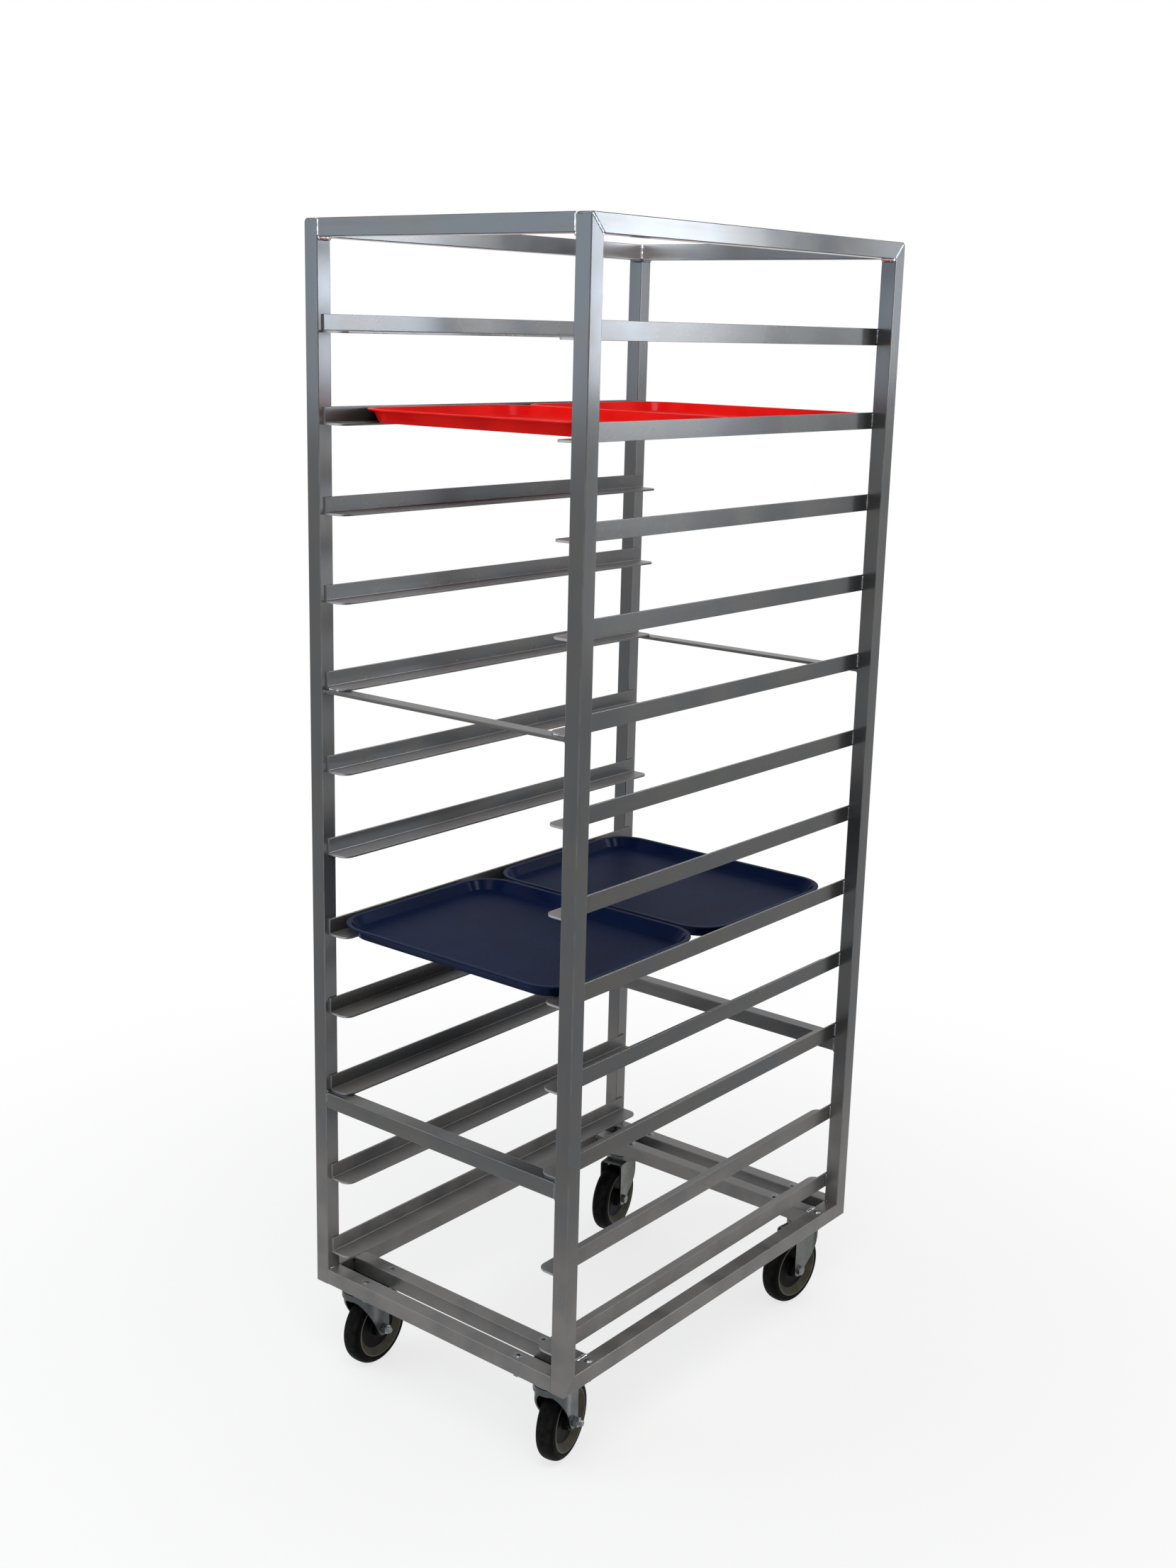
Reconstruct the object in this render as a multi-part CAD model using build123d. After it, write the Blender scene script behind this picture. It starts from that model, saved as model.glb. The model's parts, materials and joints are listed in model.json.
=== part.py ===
from build123d import *
import os

# Cafeteria tray rack on four swivel casters, in millimetres.
# X runs across the front, Y from front to back and Z up; the origin is on the floor below the middle.

# Welded frame
FRAME_W = 514.35       # over the posts, across the front
FRAME_D = 762.0        # over the posts, front to back
FRAME_H = 1625.6       # underside of the bottom rails to the top
TUBE = 25.4            # square tube, outside
TUBE_WALL = 2.4
TUBE_CORNER = 1.5      # outside corner radius of the tube

# Tray runners, aluminium angle
UPPER_LEVELS = 10
LOWER_LEVELS = 2
GROUP_GAP = 149.6      # from the top lower level to the bottom upper level
LOWEST_LEVEL = 52.0    # underside of the lowest runner above the underside of the rails
TOP_SPACE = 154.0      # underside of the highest runner to the top of the frame
RUNNER_RISE = 25.4     # upright leg
RUNNER_SHELF = 38.1    # flat leg
RUNNER_T = 3.2
RUNNER_ROOT_R = 3.0    # fillet inside the angle
RUNNER_SETBACK = 9.5   # runner end behind the post's outer face
SHELF_CORNER = 15.0    # rounding of the flat leg's free corners

# Cross bracing below two of the levels, counted from the top
BRACED_LEVELS = {"flat_bar": 5, "cross_tube": 10}
FLAT_BAR_W = 25.4
FLAT_BAR_T = 4.8

# Casters
HOLES_X = 85.7         # bolt hole spacing across the front
HOLES_Y = 57.15        # bolt hole spacing front to back
PLATE_EDGE = 7.0       # plate past the hole centres
PLATE_T = 2.8
PLATE_CORNER = 6.0
BOLT_D = 6.35
BOLT_HEAD_D = 14.5
BOLT_HEAD_H = 2.8
BOLT_PLAY = 0.4        # hole radius less bolt radius
NUT_FLATS = 11.1
NUT_H = 4.0
BOLT_TAIL = 0.6        # thread past the nut
TRAIL = 33.0           # axle behind the swivel axis
SWIVEL = {"front_left": 3.5, "front_right": 13.0, "rear_right": 174.5, "rear_left": 191.0}

# Swivel head
HEAD_R = 29.0          # plate's boss, and the fork's cup below it
BOSS_H = 8.0
CUP_GAP = 1.6          # slit between boss and cup
CUP_H = 7.5            # cup above the fork's crown
CUP_WALL = 2.5
RACE_PLAY = 1.2        # bearing ring inside the cup
RACE_BORE_R = 15.0
RACE_GAP = 0.1         # running gap between ring and fork
KINGPIN_R = 6.0
KINGPIN_HEAD_R = 10.5
KINGPIN_HEAD_H = 2.6
KINGPIN_PLAY = 0.05    # running clearance in the fork

# Fork
FORK_T = 3.0
FORK_BEND = 5.0        # outside radius of the bend from crown to leg
BELL_INSET = 3.0       # round part of the fork inside the cup's wall
LEG_STRAIGHT = 14.0    # legs run parallel from this far ahead of the axle
LEG_EASE = 30.0        # rounding where the flanks run into the parallel legs
LEG_END_R = 12.0       # rounded leg end about the axle
LEG_CORNER = 5.0       # bevel of the crown's rear corner

# Wheel
WHEEL_R = 62.5
WHEEL_CLEAR = 3.4      # tyre below the kingpin
TYRE_W = 30.0
TYRE_T = 13.5          # tread thickness over the rim
TYRE_SHOULDER = 10.0
ROUND_SHARE = 0.8      # most of the tread's thickness that is rounded off
TYRE_CROWN = 3.0       # fall of the tread from middle to shoulder
RIM_LIP = 7.0          # flat ring of the rim
RIM_CONE = 5.0         # slope of the recess wall, in radius
RECESS = 8.0           # depth of the recess on each side
HUB_R = 15.0
HUB_DRAFT = 1.0        # hub wider at its root, in radius
HUB_PROUD = 3.3        # hub past the tyre's sides
HUB_PLAY = 0.2         # gap between hub and fork leg
AXLE_R = 4.75
AXLE_PLAY = 0.05       # running clearance in the hub
AXLE_HEAD_FLATS = 14.3
AXLE_HEAD_H = 6.0
AXLE_NUT_H = 8.0
AXLE_TAIL = 6.5        # thread past the nut

# Trays
TRAY_PLAY = 3.575      # between a tray's rim and the runner beside it
TRAY_Y = 350.0
TRAY_H = 20.0
TRAY_CORNER = 60.0
TRAY_FLARE = 17.0      # floor edge inside the rim
TRAY_LIP = 7.0         # flat rim
TRAY_WALL = 2.6
TRAY_FLOOR = 2.8
TRAY_COVE = 7.0        # inside rounding from floor to wall
TRAY_SEAT = 0.2        # gap between tray and runner
TRAY_SPACING = 6.0     # between the two trays on a level
RED_SETBACK = 54.0     # front tray behind the posts' front faces
BLUE_SETBACK = 5.0
TRAYS = {"red": (2, RED_SETBACK), "blue": (8, BLUE_SETBACK)}     # level from the top and setback

SIDES = {"left": -1, "right": 1}
ENDS = {"front": -1, "rear": 1}
STANDING = (Align.CENTER, Align.CENTER, Align.MIN)

# Heights in a caster's own frame, with the top of its plate at zero
BOSS_Z = -PLATE_T - BOSS_H
CROWN_Z = BOSS_Z - CUP_GAP - CUP_H                 # top of the fork's crown
KINGPIN_Z = CROWN_Z - FORK_T - RACE_GAP            # seat of the kingpin's lower head
AXLE_Z = KINGPIN_Z - KINGPIN_HEAD_H - WHEEL_CLEAR - WHEEL_R
CASTER_H = WHEEL_R - AXLE_Z                        # floor to the top of the plate

HUB_W = TYRE_W + 2 * HUB_PROUD
FORK_W = HUB_W + 2 * (HUB_PLAY + FORK_T)           # over the legs at the axle
BELL_R = HEAD_R - BELL_INSET
RIM_R = WHEEL_R - TYRE_T
BOLT_HOLE_R = BOLT_D / 2 + BOLT_PLAY

LEVELS = UPPER_LEVELS + LOWER_LEVELS
LEVEL_PITCH = (FRAME_H - LOWEST_LEVEL - GROUP_GAP - TOP_SPACE) / (LEVELS - 2)
FRAME_TOP = CASTER_H + FRAME_H
POST_X = (FRAME_W - TUBE) / 2                      # post centre lines
POST_Y = (FRAME_D - TUBE) / 2
INNER_W = FRAME_W - 2 * TUBE                       # between the posts
PIVOT_X = POST_X - HOLES_X / 2                     # plates' outer holes lie on the posts' centre lines
PIVOT_Y = POST_Y - HOLES_Y / 2
INNER_RAIL_Y = POST_Y - HOLES_Y                    # inner rails lie over the plates' inner holes
TRAY_X = INNER_W - 2 * (RUNNER_T + TRAY_PLAY)


def level_z(level):
    """Underside of a runner, with level 1 at the top."""
    z = CASTER_H + LOWEST_LEVEL + (LEVELS - level) * LEVEL_PITCH
    return z if level > UPPER_LEVELS else z + GROUP_GAP - LEVEL_PITCH


def tube(length):
    """Square tube along Z, centred on the origin."""
    outer = RectangleRounded(TUBE, TUBE, TUBE_CORNER)
    inner = Rectangle(TUBE - 2 * TUBE_WALL, TUBE - 2 * TUBE_WALL)
    return extrude(outer - inner, amount=length / 2, both=True)


def mitred_tube(length):
    """Square tube along Z, with both ends cut at 45 degrees and the long side at -Y."""
    half, edge = length / 2, TUBE / 2
    outline = Polygon((-edge, -half), (-edge, half), (edge, half - TUBE), (edge, TUBE - half), align=None)
    return tube(length) & extrude(Plane.YZ * outline, amount=TUBE, both=True)


def cross_rail(y, z, holes=()):
    """Square tube between the two side frames, with its centre line at y and z."""
    rail = Pos(0, y, z) * Rot(0, 90, 0) * tube(INNER_W)
    return drilled(rail, holes)


def drilled(rail, holes):
    """Cuts the caster bolt holes through a bottom rail."""
    for x, y in holes:
        rail -= Pos(x, y, CASTER_H + TUBE / 2) * Cylinder(BOLT_HOLE_R, 2 * TUBE)
    return rail


def post(side, end):
    turn = 0 if end < 0 else 180
    return Pos(side * POST_X, end * POST_Y, CASTER_H + FRAME_H / 2) * Rot(0, 0, turn) * mitred_tube(FRAME_H)


def top_side_rail(side):
    return Pos(side * POST_X, 0, FRAME_TOP - TUBE / 2) * Rot(-90, 0, 0) * mitred_tube(FRAME_D)


def bottom_side_rail(side):
    rail = Pos(side * POST_X, 0, CASTER_H + TUBE / 2) * Rot(90, 0, 0) * mitred_tube(FRAME_D)
    return drilled(rail, [(side * POST_X, end * INNER_RAIL_Y) for end in ENDS.values()])


def rail_bolts(y):
    """Bolt centres on a bottom cross rail."""
    return [(side * (POST_X - HOLES_X), y) for side in SIDES.values()]


def all_bolts():
    bolts = [(side * POST_X, end * INNER_RAIL_Y) for side in SIDES.values() for end in ENDS.values()]
    for end in ENDS.values():
        bolts += rail_bolts(end * POST_Y) + rail_bolts(end * INNER_RAIL_Y)
    return bolts


def flat_bar(end):
    y = end * (FRAME_D - FLAT_BAR_W) / 2
    z = level_z(BRACED_LEVELS["flat_bar"]) - FLAT_BAR_T / 2
    return Pos(0, y, z) * Box(INNER_W, FLAT_BAR_W, FLAT_BAR_T)


def runner():
    """Angle along Y on the left side, with its outside corner on the Y axis."""
    section = Polygon((0, 0), (RUNNER_SHELF, 0), (RUNNER_SHELF, RUNNER_T), (RUNNER_T, RUNNER_T),
                      (RUNNER_T, RUNNER_RISE), (0, RUNNER_RISE), align=None)
    root = section.vertices().sort_by_distance((RUNNER_T, RUNNER_T))[0]
    section = fillet(root, RUNNER_ROOT_R)
    angle = extrude(Plane.XZ * section, amount=FRAME_D / 2 - RUNNER_SETBACK, both=True)
    tips = angle.edges().filter_by(Axis.Z).group_by(Axis.X)[-1]
    return fillet(tips, SHELF_CORNER)


def runner_pair(level):
    """Left and right runner of one level."""
    left = Pos(-INNER_W / 2, 0, level_z(level)) * runner()
    return [left, mirror(left, about=Plane.YZ)]


def at_pivot(side, end):
    return Pos(side * PIVOT_X, end * PIVOT_Y, CASTER_H)


def caster_plate():
    """Top plate with its four bolt holes and the round boss of the swivel head."""
    outline = RectangleRounded(HOLES_X + 2 * PLATE_EDGE, HOLES_Y + 2 * PLATE_EDGE, PLATE_CORNER)
    plate = extrude(outline, amount=-PLATE_T)
    plate += Pos(0, 0, BOSS_Z) * Cylinder(HEAD_R, BOSS_H, align=STANDING)
    for spot in GridLocations(HOLES_X, HOLES_Y, 2, 2):
        plate -= spot * Cylinder(BOLT_HOLE_R, 4 * PLATE_T)
    return plate - Cylinder(KINGPIN_R, 4 * (PLATE_T + BOSS_H))


def swivel_race():
    """Bearing ring that hangs from the plate's boss into the fork's cup."""
    ring = Circle(HEAD_R - CUP_WALL - RACE_PLAY) - Circle(RACE_BORE_R)
    return extrude(Pos(0, 0, BOSS_Z) * ring, amount=CROWN_Z + RACE_GAP - BOSS_Z)


def dome_head(radius, height):
    """Low domed head standing on the XY plane."""
    dome_r = (radius**2 + height**2) / (2 * height)
    arc = RadiusArc((radius, 0), (0, height), -dome_r)
    rest = Polyline((0, height), (0, 0), (radius, 0))
    return revolve(Plane.XZ * make_face([arc, *rest.edges()]), Axis.Z)


def hexagon(flats, height):
    """Hexagonal prism standing on the XY plane."""
    return extrude(RegularPolygon(flats / 2, 6, major_radius=False), amount=height)


def hex_nut(flats, height, bore_r):
    return hexagon(flats, height) - Cylinder(bore_r, 4 * height)


def kingpin():
    """Rivet through plate and fork, with a domed head above the plate and a flat one below the crown."""
    pin = Pos(0, 0, KINGPIN_Z) * Cylinder(KINGPIN_R, -KINGPIN_Z, align=STANDING)
    pin += Pos(0, 0, KINGPIN_Z - KINGPIN_HEAD_H) * Cylinder(KINGPIN_HEAD_R, KINGPIN_HEAD_H, align=STANDING)
    return pin + dome_head(KINGPIN_HEAD_R, KINGPIN_HEAD_H)


def mount_bolt():
    """Domed bolt, seated on the rail with its origin at the top of the caster plate."""
    tail = PLATE_T + NUT_H + BOLT_TAIL
    shank = Pos(0, 0, -tail) * Cylinder(BOLT_D / 2, tail + TUBE, align=STANDING)
    return shank + Pos(0, 0, TUBE) * dome_head(BOLT_HEAD_D / 2, BOLT_HEAD_H)


def leg_outline():
    """Side view of the fork: a round end about the axle, tapering out to the crown."""
    back = TRAIL + LEG_END_R
    return make_hull([
        Edge.make_circle(LEG_END_R, Plane((TRAIL, AXLE_Z))),
        Edge.make_line((-BELL_R, CROWN_Z), (back - LEG_CORNER, CROWN_Z)),
        Edge.make_line((back - LEG_CORNER, CROWN_Z), (back, CROWN_Z - LEG_CORNER)),
    ])


def fork_plan(inset):
    """Plan of the fork: round about the swivel axis, closing in to parallel legs at the axle."""
    half, start, rear = FORK_W / 2 - inset, TRAIL - LEG_STRAIGHT, TRAIL + 2 * LEG_END_R
    plan = make_hull([Edge.make_circle(BELL_R - inset), Edge.make_line((-half, start), (half, start))])
    plan += Pos(0, (start + rear) / 2) * Rectangle(2 * half, rear - start)
    return fillet(plan.vertices().group_by(Axis.Y)[-2], LEG_EASE)


def below(plan, top):
    """Everything below a plan, down to the leg ends."""
    return extrude(Pos(0, 0, top) * plan, amount=AXLE_Z - LEG_END_R - top)


def fork():
    """Pressed fork: a bell cut to the outline of its two legs, under the cup of the swivel head."""
    body = below(fork_plan(0), CROWN_Z)
    body = fillet(body.faces().sort_by(Axis.Z)[-1].edges(), FORK_BEND)
    body -= below(fork_plan(FORK_T), CROWN_Z - FORK_T)
    body &= extrude(Plane.YZ * leg_outline(), amount=HEAD_R + FORK_W, both=True)
    body += Pos(0, 0, CROWN_Z - FORK_T) * Cylinder(HEAD_R, FORK_T + CUP_H, align=STANDING)
    body -= Pos(0, 0, CROWN_Z) * Cylinder(HEAD_R - CUP_WALL, 2 * CUP_H, align=STANDING)
    body -= Pos(0, 0, CROWN_Z) * Cylinder(KINGPIN_R + KINGPIN_PLAY, 4 * FORK_T)
    return body - on_axle(Cylinder(AXLE_R, 2 * FORK_W))


def on_axle(piece):
    """Turns a piece from the Z axis onto the axle line of a caster."""
    return Pos(0, TRAIL, AXLE_Z) * Rot(0, 90, 0) * piece


def axle_bolt():
    """Hexagon bolt across the fork, with its head on the -X leg."""
    bolt = Cylinder(AXLE_R, FORK_W + AXLE_NUT_H + AXLE_TAIL, align=STANDING)
    bolt += Pos(0, 0, -AXLE_HEAD_H) * hexagon(AXLE_HEAD_FLATS, AXLE_HEAD_H)
    return Pos(0, 0, -FORK_W / 2) * bolt


def axle_nut():
    return Pos(0, 0, FORK_W / 2) * hex_nut(AXLE_HEAD_FLATS, AXLE_NUT_H, AXLE_R)


def wheel_core():
    """Moulded core: rim, recessed web and hub, turned about Z."""
    rim, hub = TYRE_W / 2, HUB_W / 2
    web = rim - RECESS
    lip = RIM_R - RIM_LIP
    bore = AXLE_R + AXLE_PLAY
    half = [(bore, hub), (HUB_R, hub), (HUB_R + HUB_DRAFT, web),
            (lip - RIM_CONE, web), (lip, rim), (RIM_R, rim)]
    section = Polygon(*half, *[(r, -z) for r, z in reversed(half)], align=None)
    return revolve(Plane.XZ * section, Axis.Z)


def tyre():
    """Rubber tread with a slight crown and round shoulders, turned about Z."""
    half, edge = TYRE_W / 2, WHEEL_R - TYRE_CROWN
    tread = ThreePointArc((edge, -half), (WHEEL_R, 0), (edge, half))
    sides = Polyline((edge, half), (RIM_R, half), (RIM_R, -half), (edge, -half))
    section = make_face([tread, *sides.edges()])
    shoulder = min(TYRE_SHOULDER, ROUND_SHARE * TYRE_T)
    section = fillet(section.vertices().group_by(Axis.X)[-1], shoulder)
    return revolve(Plane.XZ * section, Axis.Z)


def tray_outline(inset, z):
    sketch = RectangleRounded(TRAY_X - 2 * inset, TRAY_Y - 2 * inset, TRAY_CORNER - inset)
    return Pos(0, 0, z) * sketch


def tray():
    """Moulded tray standing on the XY plane: flared walls, flat rim and a coved floor."""
    under = TRAY_H - TRAY_WALL
    body = loft([tray_outline(TRAY_FLARE, 0), tray_outline(TRAY_LIP, under)], ruled=True)
    body += extrude(tray_outline(0, under), amount=TRAY_WALL)
    floor = tray_outline(TRAY_FLARE + TRAY_WALL, TRAY_FLOOR)
    hollow = loft([floor, tray_outline(TRAY_LIP, TRAY_H)], ruled=True)
    hollow = fillet(hollow.faces().sort_by(Axis.Z)[0].edges(), TRAY_COVE)
    return body - hollow


def tray_place(colour, end):
    """Centre of a tray's underside on its runners."""
    level, setback = TRAYS[colour]
    front = setback - FRAME_D / 2 + TRAY_Y / 2
    y = front if end < 0 else front + TRAY_Y + TRAY_SPACING
    return Pos(0, y, level_z(level) + RUNNER_T + TRAY_SEAT)


def frame_nodes():
    nodes = {}
    for s_name, side in SIDES.items():
        for e_name, end in ENDS.items():
            nodes[f"{e_name}_{s_name}_post"] = post(side, end)
        nodes[f"top_{s_name}_side_rail"] = top_side_rail(side)
        nodes[f"bottom_{s_name}_side_rail"] = bottom_side_rail(side)
    low = CASTER_H + TUBE / 2
    for e_name, end in ENDS.items():
        nodes[f"top_{e_name}_rail"] = cross_rail(end * POST_Y, FRAME_TOP - TUBE / 2)
        for place, y in {"outer": end * POST_Y, "inner": end * INNER_RAIL_Y}.items():
            nodes[f"bottom_{e_name}_{place}_rail"] = cross_rail(y, low, rail_bolts(y))
        under = level_z(BRACED_LEVELS["cross_tube"]) - TUBE / 2
        nodes[f"lower_{e_name}_cross_tube"] = cross_rail(end * POST_Y, under)
        nodes[f"{e_name}_flat_bar"] = flat_bar(end)
    for level in range(1, LEVELS + 1):
        nodes[f"runner_pair_{level:02d}"] = runner_pair(level)
    return nodes


def caster_nodes():
    places = {f"{e}_{s}": at_pivot(side, end) for s, side in SIDES.items() for e, end in ENDS.items()}
    plate, race, pin = caster_plate(), swivel_race(), kingpin()
    nodes = {
        "caster_plates": [place * plate for place in places.values()],
        "swivel_races": [place * race for place in places.values()],
        "kingpins": [place * pin for place in places.values()],
    }
    bolt, nut = mount_bolt(), hex_nut(NUT_FLATS, NUT_H, BOLT_D / 2)
    spots = [Pos(x, y, CASTER_H) for x, y in all_bolts()]
    nodes["caster_bolts"] = [spot * bolt for spot in spots]
    nodes["caster_nuts"] = [spot * Pos(0, 0, -PLATE_T - NUT_H) * nut for spot in spots]
    pieces = {
        "fork": fork(),
        "axle_bolt": on_axle(axle_bolt()),
        "axle_nut": on_axle(axle_nut()),
        "wheel_core": on_axle(wheel_core()),
        "tyre": on_axle(tyre()),
    }
    for corner, place in places.items():
        for name, piece in pieces.items():
            nodes[f"{corner}_{name}"] = place * Rot(0, 0, SWIVEL[corner]) * piece
    return nodes


def tray_nodes():
    blank = tray()
    return {f"{colour}_{e_name}_tray": tray_place(colour, end) * blank
            for colour in TRAYS for e_name, end in ENDS.items()}


def main():
    os.makedirs("parts", exist_ok=True)
    for name, shape in {**frame_nodes(), **caster_nodes(), **tray_nodes()}.items():
        solid = Compound(children=shape) if isinstance(shape, list) else shape
        export_step(solid, f"parts/{name}.step")


main()
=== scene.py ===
import json
import math

import bpy
from mathutils import Matrix, Vector, noise


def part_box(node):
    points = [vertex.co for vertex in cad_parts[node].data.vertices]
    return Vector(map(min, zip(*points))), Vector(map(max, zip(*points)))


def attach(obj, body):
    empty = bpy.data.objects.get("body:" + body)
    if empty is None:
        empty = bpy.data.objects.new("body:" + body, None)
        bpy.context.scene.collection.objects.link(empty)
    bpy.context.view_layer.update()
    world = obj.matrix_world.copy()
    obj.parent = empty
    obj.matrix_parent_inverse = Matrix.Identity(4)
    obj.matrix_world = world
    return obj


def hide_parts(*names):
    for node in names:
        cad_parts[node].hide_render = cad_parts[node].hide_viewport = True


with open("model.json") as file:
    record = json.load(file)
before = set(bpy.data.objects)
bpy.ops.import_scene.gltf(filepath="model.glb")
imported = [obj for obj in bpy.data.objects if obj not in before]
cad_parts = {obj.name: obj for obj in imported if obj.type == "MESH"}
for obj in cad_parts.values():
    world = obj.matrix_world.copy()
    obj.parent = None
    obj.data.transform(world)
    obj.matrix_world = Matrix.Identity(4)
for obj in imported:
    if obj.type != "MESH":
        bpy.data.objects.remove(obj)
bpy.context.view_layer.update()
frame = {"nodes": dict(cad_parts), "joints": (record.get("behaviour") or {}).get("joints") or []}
JOINTS = {j["name"]: j for j in frame["joints"]}
MM = 0.001
ENDS, SIDES, SIGNS = ("front", "rear"), ("left", "right"), (-1, 1)
CORNERS = [f"{end}_{side}" for side in SIDES for end in ENDS]
RUNNERS = [f"runner_pair_{k:02d}" for k in range(1, 13)]


# Node materials

MIX_FACTOR, MIX_A, MIX_B, MIX_RESULT = 0, 6, 7, 2      # a Mix node's sockets for colours
FACING = (0.6, 0.9)      # a normal's part along an axis from which a face counts as looking that way, and fully


class Nodes:
    """Adds nodes to one tree. A value is a number, a colour or a socket of another node."""

    def __init__(self, tree):
        self.tree = tree

    def put(self, target, value):
        if isinstance(value, bpy.types.NodeSocket):
            self.tree.links.new(value, target)
        else:
            target.default_value = value

    def add(self, kind, **inputs):
        node = self.tree.nodes.new(kind)
        for key, value in inputs.items():
            self.put(node.inputs[key.replace("_", " ")], value)
        return node

    def math(self, op, a, b=0.0):
        node = self.tree.nodes.new("ShaderNodeMath")
        node.operation = op
        self.put(node.inputs[0], a)
        self.put(node.inputs[1], b)
        return node.outputs[0]

    def plus(self, a, b):
        return self.math("ADD", a, b)

    def minus(self, a, b):
        return self.math("SUBTRACT", a, b)

    def times(self, a, b):
        return self.math("MULTIPLY", a, b)

    def most(self, a, b):
        return self.math("MAXIMUM", a, b)

    def below(self, a, b):
        return self.math("LESS_THAN", a, b)

    def size(self, a):
        return self.math("ABSOLUTE", a)

    def dot(self, a, b):
        """Product of two vectors in a plane."""
        return self.plus(self.times(a[0], b[0]), self.times(a[1], b[1]))

    def length(self, a):
        """Length of a vector in a plane."""
        return self.math("SQRT", self.dot(a, a))

    def span(self, value, low, high, to_low=0.0, to_high=1.0):
        """Eases value from to_low at low to to_high at high."""
        node = self.tree.nodes.new("ShaderNodeMapRange")
        node.interpolation_type = "SMOOTHSTEP"
        keys = ("Value", "From Min", "From Max", "To Min", "To Max")
        for key, v in zip(keys, (value, low, high, to_low, to_high)):
            self.put(node.inputs[key], v)
        return node.outputs["Result"]

    def mix(self, amount, a, b):
        """Colour that runs from a to b with the amount."""
        node = self.tree.nodes.new("ShaderNodeMix")
        node.data_type = "RGBA"
        self.put(node.inputs[MIX_FACTOR], amount)
        for index, colour in ((MIX_A, a), (MIX_B, b)):
            if not isinstance(colour, bpy.types.NodeSocket):
                colour = (*colour, 1.0)
            self.put(node.inputs[index], colour)
        return node.outputs[MIX_RESULT]

    def scaled(self, colour, factor):
        node = self.tree.nodes.new("ShaderNodeVectorMath")
        node.operation = "SCALE"
        self.put(node.inputs[0], colour)
        self.put(node.inputs["Scale"], factor)
        return node.outputs[0]

    def coords(self, kind="Object", stretch=None):
        where = self.tree.nodes.new("ShaderNodeTexCoord").outputs[kind]
        if stretch is None:
            return where
        return self.add("ShaderNodeMapping", Vector=where, Scale=stretch).outputs[0]

    def xyz(self, vector):
        return self.add("ShaderNodeSeparateXYZ", Vector=vector).outputs

    def normal(self):
        """Parts of the normal along the object's own axes."""
        return self.xyz(self.coords("Normal"))

    def position(self):
        return self.xyz(self.tree.nodes.new("ShaderNodeNewGeometry").outputs["Position"])

    def noise(self, where, scale, detail=3.0, rough=0.5):
        node = self.add("ShaderNodeTexNoise", Vector=where, Scale=scale, Detail=detail, Roughness=rough)
        return node.outputs["Fac"]

    def drawn_noise(self, axis, stretch, scale):
        """Noise that is drawn out along a local axis."""
        where = self.coords(stretch=[stretch if a == axis else 1.0 for a in "XYZ"])
        return self.noise(where, scale, detail=4.0, rough=0.6)

    def cells(self, where, scale, out="Distance"):
        return self.add("ShaderNodeTexVoronoi", Vector=where, Scale=scale).outputs[out]

    def around(self, axis):
        """Direction round a local axis, across the lines of drawn stock."""
        node = self.tree.nodes.new("ShaderNodeTangent")
        node.direction_type, node.axis = "RADIAL", axis
        return node.outputs[0]

    def bump(self, height, strength, distance):
        return self.add("ShaderNodeBump", Height=height, Strength=strength, Distance=distance).outputs[0]


class Look(Nodes):
    """One node material round a Principled shader."""

    def __init__(self, name):
        self.mat = bpy.data.materials.new(name)
        self.mat.use_nodes = True
        super().__init__(self.mat.node_tree)
        self.tree.nodes.clear()
        self.shader = self.add("ShaderNodeBsdfPrincipled")
        self.add("ShaderNodeOutputMaterial", Surface=self.shader.outputs[0])

    def set(self, **inputs):
        for key, value in inputs.items():
            self.put(self.shader.inputs[key.replace("_", " ")], value)
        return self.mat


def toned(colour, factor):
    return [c * factor for c in colour]


LOW_DUST_AND_LIGHT, SAWN_END_AND_LIGHT = (0.218, 0.209, 0.202), (0.34, 0.34, 0.35)
DUST_AND_LIGHT_SPAN = (0.52, 0.24)              # heights between which dust and painted light come in towards the floor, metres
EDGE_SPAN = (0.40, 0.495)             # from a tube's middle out to its worn edge, in widths
DRAWN_LINES, DRAWN_STAINS = (0.012, 520.0), (0.10, 55.0)      # stretch and scale of the drawn noise
LINE_SHARE, STAIN_SHARE, SCUFF_SHARE, SPECK_SHARE, DUST_AND_LIGHT_SHARE = 0.10, 0.25, 0.06, 0.35, 0.85
SAWN_ROUGH, DUST_ROUGH = 0.2, 0.14    # added roughness
CLEAN_METAL, DUSTY_METAL = 0.66, 0.40


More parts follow.
